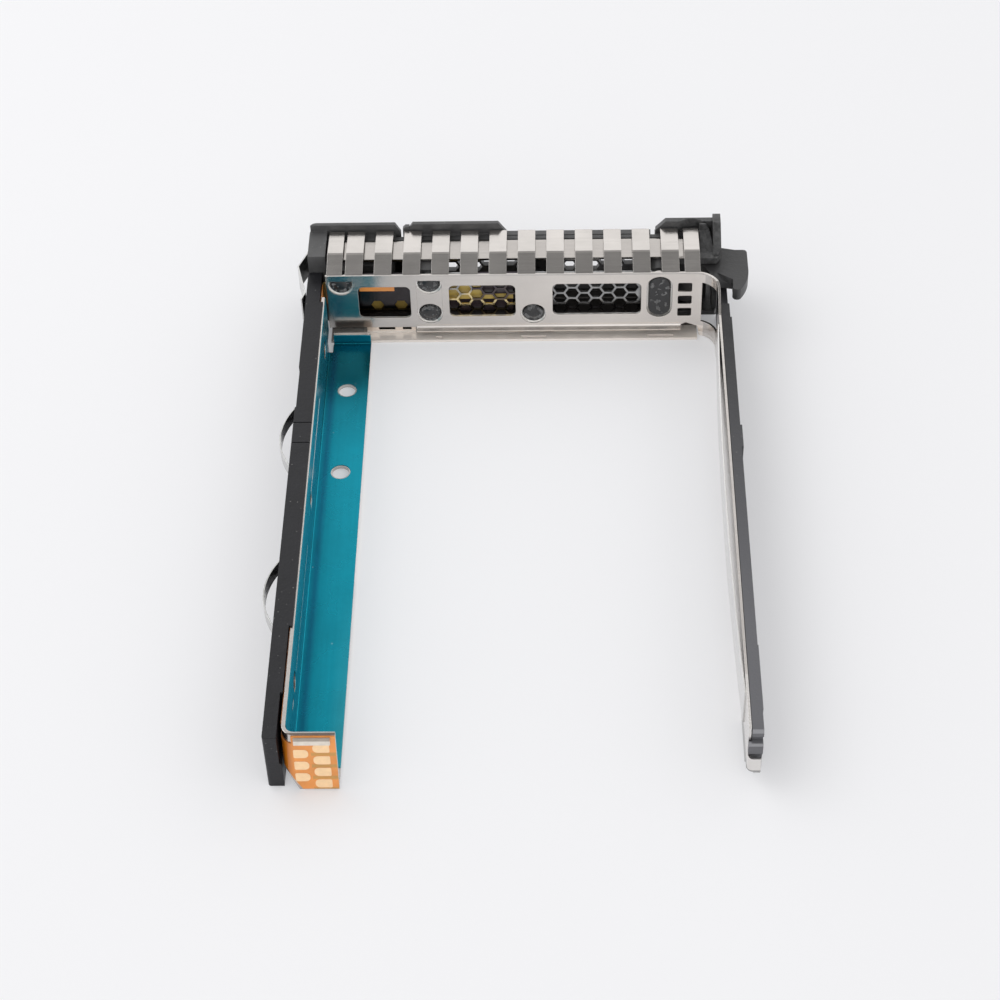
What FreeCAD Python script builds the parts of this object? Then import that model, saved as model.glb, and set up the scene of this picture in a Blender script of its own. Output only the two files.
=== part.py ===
import FreeCAD
import Part
import math
import os

V = FreeCAD.Vector

# Hot swap drive caddy for a 2.5 inch drive, lying on its base, in millimetres.
# X runs across the caddy, Y towards the front bezel and Z up.
# The origin is on the centre plane of the drive bay, on the base, in the plane of the
# crossbar face that closes the front of the bay.

# ---- drive and bay
drive_width = 69.85
drive_side_clearance = 0.275        # each side, between drive and steel
drive_length = 100.2
drive_screw_rear = 14.0             # from the drive's connector end to its rear screw
drive_screw_pitch = 76.6            # front to rear screw, along the drive
drive_screw_height = 3.0            # screw axis above the drive's underside
drive_underside = 3.0               # the drive hangs on its side screws, above the flange's lip
drive_end_gap = 0.2                 # crossbar face to the front end of the drive
screw_hole_radius = 1.6             # M3 clearance in the steel
screw_access_radius = 3.2           # room for the screw head in the plastic

# ---- rails
rail_height = 11.8
rail_length = 102.2                 # crossbar face to the rear end of the left cover
rail_front_gap = 1.7                # crossbar face to the front edge of the left rail
lip_height = 2.8                    # top of the flange's front lip
lip_bend = 0.9                      # outside radius of the flange to lip bend
wall_relief = 3.4                   # height of the notch in the wall beside the lip
wall_relief_length = 3.0
rail_gauge = 0.6                    # left rail sheet
film_gauge = 0.1
flex_gauge = 0.15
flange_width = 8.3
flange_bend = 0.9                   # outside radius of the wall to flange bend
left_cover_thickness = 2.55
right_cover_thickness = 1.75
right_cover_short = 0.9             # how much shorter the right cover is at the rear
cover_gap = 0.1                     # between a cover and the sheet it is clipped on

# ---- crossbar and its fingers
crossbar_gauge = 0.4
crossbar_height = 14.9
crossbar_foot = 2.5                 # lower edge of the crossbar face above the base
crossbar_bend = 3.8                 # inside radius of its right-hand corner
finger_pitch = 5.165
finger_count = 12                   # evenly pitched fingers, without the two end ones
finger_width = 3.15
end_finger_width = 2.8
end_finger_gap_left = 0.55
end_finger_gap_right = 0.95
first_finger_x = -31.5              # left edge of the first evenly pitched finger
finger_ridge_y = 5.0
finger_ridge_z = 16.1
finger_tip_y = 11.5
finger_tip_z = 15.6

# ---- front assembly
cage_gauge = 0.5
cage_height = 14.8
cage_strip_y = 4.6                  # rear edge of the cage's top strip
cage_front_y = 10.2
cage_heel_y = -1.4                  # rear edge of the cage's bottom plate
bezel_front_y = 12.6
bezel_plate_thickness = 0.9
rim_height = 14.5                   # height of the bezel and lever under the finger tips
brow_height = 16.8                  # raised front edge, in front of the fingers
brow_y = 11.85                      # rear face of the raised front edges
right_brow_height = 16.9
corner_height = 17.6
front_corner_radius = 1.3
front_left_x = -38.5
front_right_x = 36.2
cheek_rear_y = 4.7                  # rear end of the bezel's end blocks
running_gap = 0.3                   # between pieces that move on each other

# ---- latch lever
pivot_x = 31.0
pivot_y = 9.6
barrel_radius = 3.0
pin_radius = 1.0
pin_play = 0.05
lever_left_x = -21.5
lever_thickness = 1.2
ear_low_top = 1.6                   # top of the lower hinge ear
ear_high_base = 12.9                # underside of the upper hinge ear
ear_high_top = 14.2
hook_low = 9.8
hook_high = 12.2
hook_clearance = 0.6
lever_vent_low = 7.0                # centre of the lever's lowest row of vents

# ---- release button
button_x0 = -30.6
button_x1 = -24.6
button_z0 = 3.6
button_z1 = 12.4
button_travel = 1.2
button_proud = 0.6
button_lip = 0.6
button_lip_thickness = 0.9
button_spring_rear_y = 5.4

# ---- indicator lenses on the front
ring_x = -34.4
ring_z = 9.2
ring_outer = 2.6
ring_inner = 1.5
lens_x = -34.4
lens_z = 3.6
lens_radius = 1.0

# ---- hexagonal vents
hex_pitch = 2.5                     # across flats, hole and web together
hex_web = 0.38
grille_y = 2.0
grille_gauge = 0.3
grille_top = 13.6
grille_foot = 2.2

# ---- melted stakes that hold the crossbar on the bezel: x, z
stake_radius = 2.0
stake_shank_radius = 1.2
stake_shoulder_radius = 2.5
dish_radius = 2.3
dish_depth = 0.9
stake_recess = 0.08                 # depth of the shallow recess that joins the pair of stakes
crossbar_flat_top = 13.6            # the flat of the crossbar ends here, below its top bend
round_stakes = [(-32.4, 12.7), (-16.55, 12.7), (-16.55, 5.7), (2.2, 5.5)]
tall_stake = (25.0, 9.2)
tall_stake_half_height = 2.5        # from the middle to the centre of each round end

# ---- openings in the crossbar face: x0, x1, z0, z1
crossbar_windows = [(-29.4, -20.0, 4.8, 12.2), (-13.0, -1.0, 5.0, 12.4), (5.7, 21.7, 5.2, 12.55)]
window_radius = 1.0
vent_paths = [(-13.6, -0.8), (5.2, 22.0)]   # x0, x1 of the air's way through cage and bezel
vent_slots = [(10.4, 12.5), (7.5, 9.45), (4.6, 6.5)]
vent_slot_x0 = 28.3
vent_slot_x1 = 30.8
hook_window_x = 32.6                # left edge of the tall window that the hook swings through
hook_window_z0 = 3.4
hook_window_z1 = 12.7
hook_window_rear_y = -4.6

# ---- the right arm's rear tab
rear_tab_z0 = 3.1
rear_tab_z1 = 6.1
rear_tab_reach = 0.9                # past the end of the right cover
rear_lift = 2.0                     # underside of the right rail at its rear end
rear_lift_length = 3.4
rear_rib_groove = (8.9, 10.5)       # z0, z1 of the groove between the cover's two end ribs
rear_rib_low = 6.6                  # lower face of the lower end rib

# ---- side springs: middle along Y
spring_gauge = 0.25
spring_height = 2.6
spring_base_z = 6.8
side_spring_half = 8.1
side_spring_bulge = 2.5
side_spring_front_y = -35.0
side_spring_rear_y = -70.6

# ---- earthing clip outside the left cheek
clip_y = 10.85                      # front face of the end that sits in the cheek's slot
clip_z0 = 7.0
clip_z1 = 12.0

# ---- round holes in the floor flange
flange_hole_x = -31.25
flange_hole_radius = 1.5
flange_hole_ys = (-14.65, -35.1)

# ---- contact end of the flexible circuit
end_plate_lean = 1.6                # how far the end plate's top leans forward
end_bend = 1.3                      # inside radius of the wall to end plate bend
flex_corner_drop = 2.0              # how far the circuit is cut down at the rear corner
pad_thickness = 0.06
pad_height = 1.75
pad_pitch = 2.47
right_pad_count = 4
left_pad_count = 3
right_pad_x0 = -31.1
right_pad_x1 = -28.5
left_pad_x0 = -34.1
left_pad_x1 = -31.8
right_pad_base_z = 1.4              # centre of the lowest pad
left_pad_base_z = 2.75
flex_clip_thickness = 0.45
flex_clip_z0 = 9.75
flex_clip_z1 = 11.1
flex_top = 11.25                    # upper edge of the circuit on the end plate

left_cover_grooves = (-34.1, -38.9)
# ---- slots through the left wall: y0, y1, z0, z1
wall_slots = [(-47.2, -23.3, 7.15, 7.6), (-48.3, -45.8, 5.5, 7.6), (-52.1, -48.3, 6.9, 7.25),
              (-83.9, -56.9, 5.7, 6.35), (-91.6, -89.0, 4.8, 5.9)]
# ---- slots through the right arm: y0, y1, z0, z1
arm_slots = [(-82.6, -77.9, 5.8, 6.5), (-91.4, -88.8, 8.6, 9.3)]

# ---- worked out from the values above
bay_half = drive_width / 2 + drive_side_clearance
wall_outer_left = -bay_half - rail_gauge
arm_outer_right = bay_half + crossbar_gauge
flex_outer_left = wall_outer_left - flex_gauge
cover_inner_left = flex_outer_left - cover_gap
cover_outer_left = cover_inner_left - left_cover_thickness
cover_inner_right = arm_outer_right + cover_gap
cover_outer_right = cover_inner_right + right_cover_thickness
flange_edge_x = wall_outer_left + flange_width
screw_z = drive_underside + drive_screw_height
screw_rear_y = -drive_end_gap - drive_length + drive_screw_rear
screw_front_y = screw_rear_y + drive_screw_pitch
rail_front_y = -rail_front_gap
lever_back_y = bezel_front_y - lever_thickness
plate_back_y = cage_front_y + cover_gap
plate_front_y = plate_back_y + bezel_plate_thickness
right_rear_y = -rail_length + right_cover_short


# ---------------------------------------------------------------- shaping helpers

def block(x0, x1, y0, y1, z0, z1):
    return Part.makeBox(x1 - x0, y1 - y0, z1 - z0, V(x0, y0, z0))


def face_of(points):
    return Part.Face(Part.makePolygon([*points, points[0]]))


def prism_z(outline, z0, z1):
    """Outline of (x, y) points, raised from z0 to z1."""
    return face_of([V(x, y, z0) for x, y in outline]).extrude(V(0, 0, z1 - z0))


def prism_y(outline, y0, y1):
    """Outline of (x, z) points, drawn from y0 to y1."""
    return face_of([V(x, y0, z) for x, z in outline]).extrude(V(0, y1 - y0, 0))


def rod_y(x, z, radius, y0, y1):
    return Part.makeCylinder(radius, y1 - y0, V(x, y0, z), V(0, 1, 0))


def rod_z(x, y, radius, z0, z1):
    return Part.makeCylinder(radius, z1 - z0, V(x, y, z0))


def rod_x(y, z, radius, x0, x1):
    return Part.makeCylinder(radius, x1 - x0, V(x0, y, z), V(1, 0, 0))


def soften(body, radius, direction, wanted=None):
    """Round the straight edges that run along a direction."""
    edges = []
    for edge in body.Edges:
        if len(edge.Vertexes) != 2:
            continue
        run = edge.Vertexes[1].Point - edge.Vertexes[0].Point
        if run.cross(direction).Length > 1e-6 * run.Length:
            continue
        if wanted is None or wanted(edge.CenterOfMass):
            edges.append(edge)
    return body.makeFillet(radius, edges)


def window(x0, x1, z0, z1, radius, y0, y1):
    """A rounded rectangle through a wall that faces along Y."""
    return soften(block(x0, x1, y0, y1, z0, z1), radius, V(0, 1, 0))


def bent_wire(points, radii):
    """Straight runs joined by tangent arcs; one radius for each inner corner."""
    edges = []
    last = points[0]
    for before, corner, after, radius in zip(points, points[1:], points[2:], radii):
        back = (before - corner).normalize()
        on = (after - corner).normalize()
        half = back.getAngle(on) / 2
        reach = radius / math.tan(half)
        middle = corner + (back + on).normalize() * (radius / math.sin(half) - radius)
        edges.append(Part.LineSegment(last, corner + back * reach).toShape())
        arc = Part.Arc(corner + back * reach, middle, corner + on * reach)
        edges.append(arc.toShape())
        last = corner + on * reach
    edges.append(Part.LineSegment(last, points[-1]).toShape())
    return Part.Wire(edges)


def folded(points, radii, gauge, side):
    """Section of a folded sheet: the wire is one skin, the other lies `gauge` away
    on the given side (a vector roughly across the first run)."""
    wire = bent_wire(points, radii)
    for sign in (1, -1):
        section = wire.makeOffset2D(sign * gauge, join=2, fill=True, openResult=True)
        probe = (points[0] + points[1]) * 0.5 + side * (gauge * 0.5)
        if section.isInside(probe, 1e-4, True):
            return section
    raise ValueError("the sheet has no skin on that side")


def cut_all(body, tools):
    return body.cut(Part.makeCompound(list(tools)))


def join(*bodies):
    result = bodies[0].fuse(list(bodies[1:]))
    return result.removeSplitter()


def save(node, shape):
    if not shape.isValid():
        raise ValueError(node + " is not a valid shape")
    shape.exportStep("parts/" + node + ".step")
    print(node, len(shape.Solids), "solid(s)", round(shape.Volume, 2), "mm3")


# ---------------------------------------------------------------- crossbar

def stake_hole(x, z, radius, y0, y1):
    """A round hole whose top is cut level where the crossbar's flat ends."""
    hole = rod_y(x, z, radius, y0, y1)
    return hole.common(block(x - 9, x + 9, y0, y1, 0, crossbar_flat_top))


def stadium(radius, y0, y1):
    """The tall stake's outline, swept along Y."""
    x, z = tall_stake
    half = tall_stake_half_height
    middle = block(x - radius, x + radius, y0, y1, z - half, z + half)
    return join(middle, rod_y(x, z - half, radius, y0, y1), rod_y(x, z + half, radius, y0, y1))


def dish(x, z):
    """Pressed seat for a stake head: a cone with a flat floor and a round hole."""
    floor = dish_radius - 0.5
    outside = Part.makeCone(dish_radius + crossbar_gauge, floor + crossbar_gauge,
                            dish_depth, V(x, crossbar_gauge, z), V(0, 1, 0))
    inside = Part.makeCone(dish_radius, floor, dish_depth, V(x, 0, z), V(0, 1, 0))
    level = block(x - 9, x + 9, -1, 9, 0, crossbar_flat_top)
    outside = outside.common(block(x - 9, x + 9, -1, 9, 0, crossbar_flat_top + 0.6))
    hole = rod_y(x, z, stake_shank_radius + 0.1, 0, 9)
    return outside.cut(join(inside.common(level), hole))


def tall_dish():
    """The same seat, drawn out for the tall stake."""
    outside = stadium(dish_radius + crossbar_gauge, crossbar_gauge, crossbar_gauge + dish_depth)
    inside = stadium(dish_radius, 0, dish_depth)
    hole = stadium(stake_shank_radius + 0.1, 0, 9)
    return outside.cut(join(inside, hole))


def finger(x, width):
    """One spring finger: up from the crossbar's top edge, over a ridge, down to its tip."""
    path = [V(x, 0, crossbar_flat_top), V(x, 0, crossbar_height),
            V(x, finger_ridge_y, finger_ridge_z), V(x, finger_tip_y, finger_tip_z)]
    section = folded(path, [crossbar_gauge + 0.15, crossbar_gauge + 0.1], crossbar_gauge,
                     V(0, 1, 0))
    return section.extrude(V(width, 0, 0))


def finger_row():
    last_x = first_finger_x + (finger_count - 1) * finger_pitch
    fingers = [finger(first_finger_x + i * finger_pitch, finger_width)
               for i in range(finger_count)]
    left = first_finger_x - end_finger_gap_left - end_finger_width
    fingers.append(finger(left, end_finger_width))
    fingers.append(finger(last_x + finger_width + end_finger_gap_right, end_finger_width))
    return fingers


def arm_rear_tab():
    """The arm's rear end is folded outwards and covers the end of the right cover."""
    inner = bay_half
    rear = right_rear_y - rear_tab_reach
    outline = [V(inner, right_rear_y + 3.0, rear_tab_z0), V(inner, rear, rear_tab_z0),
               V(cover_outer_right - 0.2, rear, rear_tab_z0)]
    section = folded(outline, [0.8], crossbar_gauge, V(1, 0, 0))
    tab = section.extrude(V(0, 0, rear_tab_z1 - rear_tab_z0))
    toe = face_of([V(inner + 1.0, rear, rear_tab_z0 + 0.3), V(inner + 1.0, rear, rear_tab_z0),
                   V(inner + 1.0, rear + 0.6, rear_lift), V(inner + 1.0, rear + 1.0, rear_lift),
                   V(inner + 1.0, rear + 0.4, rear_tab_z0 + 0.3)])
    return join(tab, toe.extrude(V(cover_outer_right - 0.2 - inner - 1.0, 0, 0)))


def rear_underside(x0, x1):
    """What the right rail leaves free above the floor at its rear end."""
    y = right_rear_y
    return face_of([V(x0, y - 9, -1), V(x0, y - 9, rear_lift),
                    V(x0, y + rear_lift_length - 1.2, rear_lift), V(x0, y + rear_lift_length, 0),
                    V(x0, y + rear_lift_length, -1)]).extrude(V(x1 - x0, 0, 0))


def crossbar():
    path = [V(-bay_half + film_gauge, 0, 0), V(bay_half, 0, 0), V(bay_half, right_rear_y + 0.6, 0)]
    plan = folded(path, [crossbar_bend], crossbar_gauge, V(0, 1, 0))
    body = plan.extrude(V(0, 0, crossbar_height))
    bend_x = bay_half - crossbar_bend
    # the arm is lower than the face, and the corner slopes down to it
    slope = face_of([V(bend_x - 1, -crossbar_bend * 0.6, crossbar_height + 1),
                     V(bend_x - 1, -crossbar_bend * 0.6, crossbar_height),
                     V(bend_x - 1, -crossbar_bend - 4.0, rail_height),
                     V(bend_x - 1, -rail_length - 9, rail_height),
                     V(bend_x - 1, -rail_length - 9, crossbar_height + 1)])
    body = body.cut(slope.extrude(V(crossbar_bend + 3, 0, 0)))
    foot = [(-40, -1), (bend_x + 1.2, -1), (bend_x + 0.6, crossbar_foot - 0.4),
            (bend_x - 1.5, crossbar_foot + 0.5), (bend_x - 2.4, crossbar_foot), (-40, crossbar_foot)]
    body = body.cut(prism_y(foot, -0.5, 1))
    openings = [window(*size, window_radius, -1, 1) for size in crossbar_windows]
    openings += [window(vent_slot_x0, vent_slot_x1, z0, z1, 0.3, -1, 1) for z0, z1 in vent_slots]
    openings += [stake_hole(x, z, dish_radius, -1, 1) for x, z in round_stakes]
    openings.append(stadium(dish_radius, -1, 1))
    pair_x, pair_top = round_stakes[1]
    openings.append(block(pair_x - dish_radius, pair_x + dish_radius, -1, stake_recess,
                          round_stakes[2][1], pair_top))
    openings.append(block(hook_window_x, arm_outer_right + 1, hook_window_rear_y, 1,
                          hook_window_z0, hook_window_z1))
    for y in (screw_front_y, screw_rear_y):
        openings.append(rod_x(y, screw_z, screw_hole_radius, bay_half - 1, arm_outer_right + 1))
    openings += [block(bay_half - 1, arm_outer_right + 1, *slot) for slot in arm_slots]
    openings.append(rear_underside(bay_half - 1, arm_outer_right + 4))
    curl = folded([V(-19.2, 0, crossbar_foot + 1.2), V(-19.2, 0, crossbar_foot),
                   V(-19.2, -0.9, crossbar_foot - 0.35)], [0.5], crossbar_gauge, V(0, 1, 0))
    curl = curl.extrude(V(bend_x - 2.4 + 19.2, 0, 0))
    body = cut_all(join(body, curl, arm_rear_tab(), *finger_row()), openings)
    return join(body, tall_dish(), *[dish(x, z) for x, z in round_stakes])


# ---------------------------------------------------------------- cage and vents

def front_cage():
    """Folded channel that closes the front assembly above, in front and below."""
    left = -bay_half + 0.3
    right = 32.0
    path = [V(left, cage_strip_y, cage_height), V(left, cage_front_y, cage_height),
            V(left, cage_front_y, 0), V(left, cage_heel_y, 0)]
    section = folded(path, [cage_gauge + 0.3, cage_gauge + 0.3], cage_gauge, V(0, 0, -1))
    body = section.extrude(V(right - left, 0, 0))
    lip = block(-28.4, -19.4, 0.8, 0.8 + cage_gauge, 0, crossbar_foot + 0.1)
    body = join(body, lip)
    front = (cage_front_y - 1, cage_front_y + 1)
    openings = [block(x0, x1, *front, 2.4, 12.8) for x0, x1 in vent_paths]
    openings.append(block(left - 1, -22.6, *front, 1.4, cage_height - cage_gauge - 0.05))
    openings.append(block(tall_stake[0] - stake_shoulder_radius - 0.2, right + 1, *front,
                          cage_gauge, cage_height - cage_gauge))
    openings += [rod_y(x, z, stake_shoulder_radius + 0.1, *front) for x, z in round_stakes[1:]]
    for x0, x1 in ((-26.2, -23.2), (-21.8, -20.2)):
        openings.append(block(x0, x1, 0, 2, 1.2, 2.1))
    for x0, x1 in ((-15.7, -14.5), (-0.2, 4.4), (22.9, 27.7)):
        openings.append(block(x0, x1, -1.0, -0.45, -1, 1))
    return cut_all(body, openings)


def hexagon(x, z, across, y0, y1):
    """A hexagonal hole with its flats above and below."""
    radius = across / math.sqrt(3)
    corners = [(x + radius * math.cos(math.radians(60 * i)),
                z + radius * math.sin(math.radians(60 * i))) for i in range(6)]
    return prism_y(corners, y0, y1)


def hex_field(x0, x1, z0, z1, y0, y1, skip=()):
    """Staggered hexagonal holes whose centres lie inside the rectangle; none comes
    near a skipped (x, z, radius)."""
    column = hex_pitch * math.sqrt(3) / 2
    holes = []
    for i in range(int((x1 - x0) / column) + 1):
        x = x0 + i * column
        z = z0 + (hex_pitch / 2 if i % 2 else 0)
        while z <= z1 + 1e-6:
            if all(math.hypot(x - cx, z - cz) > r + hex_pitch / 2 for cx, cz, r in skip):
                holes.append(hexagon(x, z, hex_pitch - hex_web, y0, y1))
            z += hex_pitch
    return holes


def vent_grille():
    """Perforated sheet behind the crossbar windows, held on the stakes' shoulders."""
    y0 = grille_y
    y1 = grille_y + grille_gauge
    sheet = block(-30.6, 27.4, y0, y1, grille_foot, grille_top)
    posts = [(x, z, stake_shank_radius + 0.7) for x, z in round_stakes]
    tall_x, tall_z = tall_stake
    half = tall_stake_half_height
    posts += [(tall_x, tall_z + k * half, stake_shank_radius + 0.9) for k in (-1, 0, 1)]
    holes = hex_field(-12.4, 21.9, 3.6, 12.2, y0 - 1, y1 + 1, posts)
    holes += [hexagon(x, 6.1, hex_pitch - hex_web, y0 - 1, y1 + 1) for x in (-26.2, -21.9)]
    holes += [rod_y(x, z, stake_shank_radius + 0.05, y0 - 1, y1 + 1) for x, z in round_stakes]
    holes.append(stadium(stake_shank_radius + 0.05, y0 - 1, y1 + 1))
    holes.append(block(-31, -29.2 + 0.3, y0 - 1, y1 + 1, 9.7, 12.2))
    return cut_all(sheet, holes)


# ---------------------------------------------------------------- bezel

def stakes():
    """Stepped posts through the grille and the crossbar, with their melted heads."""
    root = plate_back_y + 0.2
    seat = grille_y + grille_gauge
    level = block(-40, 40, -2, 20, 0, crossbar_flat_top)
    posts = []
    for x, z in round_stakes:
        shoulder = rod_y(x, z, stake_shoulder_radius, seat, root)
        shank = rod_y(x, z, stake_shank_radius, 0.5, root)
        head = rod_y(x, z, stake_radius - 0.2, 0.1, dish_depth)
        dome = Part.makeSphere(2.6, V(x, 2.4, z))
        head = head.fuse(dome.common(rod_y(x, z, 1.5, -1, dish_depth)))
        posts.append(join(shoulder, shank, head.common(level)))
    shoulder = stadium(stake_shoulder_radius, seat, root)
    shank = stadium(stake_shank_radius, 0.5, root)
    head = soften(stadium(stake_radius, 0.0, dish_depth), 0.35, V(0, 0, 1),
                  lambda c: c.y < 0.1)
    posts.append(join(shoulder, shank, head))
    return [post.common(block(-40, 40, -2, 20, 0, ear_high_top)) for post in posts]


def left_section():
    """The part of the bezel left of the lever, with its cheek and the button's housing."""
    right = lever_left_x - 1.4
    face = prism_y([(front_left_x, 0), (right, 0), (right, rim_height),
                    (front_left_x, rim_height)], plate_back_y, bezel_front_y)
    brow = prism_y([(front_left_x, rim_height - 1), (right + 1.0, rim_height - 1),
                    (right + 1.0, rim_height + 0.5), (right, brow_height),
                    (front_left_x, brow_height)], brow_y, bezel_front_y)
    cheek = block(front_left_x, -bay_half - 0.1, cheek_rear_y, bezel_front_y, 0, rim_height + 1)
    body = join(face, brow, cheek)
    body = soften(body, front_corner_radius, V(0, 0, 1),
                  lambda c: c.x < front_left_x + 0.1 and c.y > bezel_front_y - 0.1)
    walls = block(button_x0 - 1.9, button_x1 + 1.7, button_spring_rear_y - 0.9, plate_back_y + 0.1,
                  button_z0 - 1.4, button_z1 + 1.2)
    slot = block(front_left_x - 1, front_left_x + 0.6, clip_y - spring_gauge - 0.05,
                 clip_y + 0.05, clip_z0 - 0.1, clip_z1 + 0.1)
    body = join(body, walls)
    ring = rod_y(ring_x, ring_z, ring_outer + 0.05, plate_back_y + 0.5, bezel_front_y + 1)
    lens = rod_y(lens_x, lens_z, lens_radius + 0.05, plate_back_y + 0.5, bezel_front_y + 1)
    return cut_all(body, [slot, ring, lens])


def middle_frame():
    """Vented plate behind the lever, with the openings that the air goes through."""
    plate = block(lever_left_x - 2, 26.4, plate_back_y, plate_front_y, cage_gauge + 0.1, rim_height)
    vents = [window(x0, x1, 3.2, 12.0, 0.8, 0, 20) for x0, x1 in vent_paths]
    return cut_all(plate, vents)


def right_block():
    """Hinge ears, the end block and the raised corner over the hook."""
    low = cage_gauge + 0.1
    ears = [block(24.4, front_right_x, cheek_rear_y, bezel_front_y + 0.3, low, ear_low_top),
            block(24.4, front_right_x, cheek_rear_y, bezel_front_y + 0.3, ear_high_base,
                  ear_high_top)]
    brow = prism_y([(24.5, ear_high_base), (24.5, rim_height + 0.4), (26.3, right_brow_height),
                    (34.8, right_brow_height), (34.8, ear_high_base)], brow_y, bezel_front_y + 0.3)
    scallop = rod_z(pivot_x, pivot_y, barrel_radius, rim_height + 0.3, 20)
    corner = prism_z([(34.8, 5.4), (front_right_x, 5.4), (front_right_x, bezel_front_y + 0.5),
                      (34.8, bezel_front_y + 0.5)], 0, corner_height)
    fall = face_of([V(34, 5.0, ear_high_top), V(34, 10.8, corner_height + 0.1),
                    V(34, 5.0, corner_height + 0.1)])
    corner = corner.cut(fall.extrude(V(5, 0, 0)))
    saddle = block(32.4, 35.4, cheek_rear_y, 11.2, ear_high_base, 17)
    ramp = face_of([V(31, cheek_rear_y, 13.7), V(31, 10.9, 15.6), V(31, 10.9, 18), V(31, 0, 18),
                    V(31, 0, 12.3)])
    flank = prism_y([(35.5, 13.2), (35.5, 18), (33.0, 18)], 0, 20)
    saddle = saddle.cut(join(ramp.extrude(V(5, 0, 0)), flank))
    body = join(*ears, brow.cut(scallop), corner, saddle)
    body = body.cut(prism_z([(35.0, 4), (front_right_x + 1, 4), (front_right_x + 1, 8.5)], -1, 20))
    window_for_hook = block(34.0, 40, 0, 10.7, hook_low - hook_clearance, hook_window_z1)
    sweep = rod_z(pivot_x, pivot_y, barrel_radius + 0.6 + running_gap, hook_window_z0 - 1.8,
                  hook_window_z1 + 0.2)
    pin_hole = rod_z(pivot_x, pivot_y, pin_radius, -1, ear_high_top - 0.3)
    return body.cut(join(window_for_hook, sweep)).cut(pin_hole)


def bezel():
    body = join(left_section(), middle_frame(), right_block(), *stakes())
    button_room = block(button_x0 - 1.0, button_x1 + 1.0, button_spring_rear_y, plate_back_y,
                        button_z0 - 0.7, button_z1 + 0.7)
    opening = window(button_x0 - 0.15, button_x1 + 0.15, button_z0 - 0.15, button_z1 + 0.15,
                     1.0, cage_front_y, bezel_front_y + 1)
    return body.cut(join(button_room, opening))


# ---------------------------------------------------------------- latch lever

def hook():
    """Arm behind the pivot and the blade that hooks the cage beside the caddy."""
    arm = prism_z([(30.2, 7.0), (33.2, 4.6), (34.6, 1.9), (38.2, 1.3), (38.9, 9.3),
                   (33.4, 10.6)], hook_low, hook_high)
    side = Part.makePolygon([V(38.1, -0.4, hook_low), V(38.1, 9.3, hook_low),
                             V(40.3, 9.3, hook_low)])
    corner = Part.Arc(V(40.3, 9.3, hook_low), V(40.85, 9.05, hook_low), V(41.05, 8.5, hook_low))
    back = Part.LineSegment(V(41.05, 8.5, hook_low), V(41.05, 3.6, hook_low))
    taper = Part.Arc(V(41.05, 3.6, hook_low), V(40.6, 0.9, hook_low), V(39.5, -1.3, hook_low))
    tip = Part.Arc(V(39.5, -1.3, hook_low), V(38.7, -1.6, hook_low), V(38.1, -0.4, hook_low))
    outline = Part.Wire(side.Edges + [piece.toShape() for piece in (corner, back, taper, tip)])
    blade = Part.Face(outline).extrude(V(0, 0, hook_high - hook_low))
    facet = Part.Face(Part.makePolygon([V(33.2, 4.6, hook_high + 1), V(39.0, 0.6, hook_high + 1),
                                        V(39.0, 0.6, hook_high - 1.8), V(33.2, 4.6, hook_high + 1)]))
    wedge = facet.extrude(V(-3.5, -4.5, 0))
    return join(arm.cut(wedge), blade)


def latch_lever():
    y0 = lever_back_y
    y1 = bezel_front_y
    shoulder = 23.6
    plate = [(lever_left_x + 1.1, 0.6), (shoulder, 0.6), (shoulder, 1.9), (pivot_x, 1.9),
             (pivot_x, ear_high_base - running_gap), (shoulder, ear_high_base - running_gap),
             (shoulder, rim_height), (lever_left_x + 1.1, rim_height)]
    body = prism_y(plate, y0, y1)
    nub = prism_y([(lever_left_x, 4.5), (lever_left_x + 1.2, 4.5), (lever_left_x + 1.2, 16.3),
                   (lever_left_x + 0.5, 16.3), (lever_left_x, 15.8)], brow_y, y1)
    bar = prism_y([(lever_left_x + 1.1, rim_height - 1), (-2.5, rim_height - 1),
                   (-2.5, rim_height + 0.1), (-4.1, brow_height + 0.1),
                   (lever_left_x + 1.8, brow_height + 0.1), (lever_left_x + 1.1, 15.7)],
                  brow_y, y1)
    grip = prism_y([(lever_left_x + 1.1, 2.0), (-17.0, 2.0), (-15.8, 4.0), (-15.8, 11.0),
                    (-17.0, 13.0), (lever_left_x + 1.1, 13.0)], y1 - 0.1, y1 + 0.6)
    barrel = rod_z(pivot_x, pivot_y, barrel_radius, ear_low_top + running_gap,
                   ear_high_base - running_gap)
    body = join(body, nub, bar, grip, barrel, hook())
    vents = hex_field(-12.8, 22.2, lever_vent_low, 12.2, y0 - 1, y1 + 1)
    finger_hole = window(-19.4, -17.6, 5.0, 10.0, 0.6, y1 - 0.3, y1 + 1)
    bore = rod_z(pivot_x, pivot_y, pin_radius + pin_play, 0, 20)
    return cut_all(body, vents + [bore, finger_hole])


def lever_pin():
    """Hinge pin, pressed in the bezel's two ears, with a shallow domed head below."""
    top = ear_high_top - 0.3
    return rod_z(pivot_x, pivot_y, pin_radius, cage_gauge + 0.1, top)


def release_button():
    """Push button with a lip that keeps it behind the bezel's face."""
    back = plate_back_y - button_lip_thickness
    cap = window(button_x0, button_x1, button_z0, button_z1, 0.9, back,
                 bezel_front_y + button_proud)
    lip = block(button_x0 - button_lip, button_x1 + button_lip, back, plate_back_y,
                button_z0 - 0.4, button_z1 + 0.4)
    groove = [window(button_x0 + 1.2, button_x1 - 1.2, z, z + 0.5, 0.2,
                     bezel_front_y + button_proud - 0.3, bezel_front_y + 2)
              for z in (6.4, 7.8, 9.2)]
    return cut_all(join(cap, lip), groove)


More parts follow.
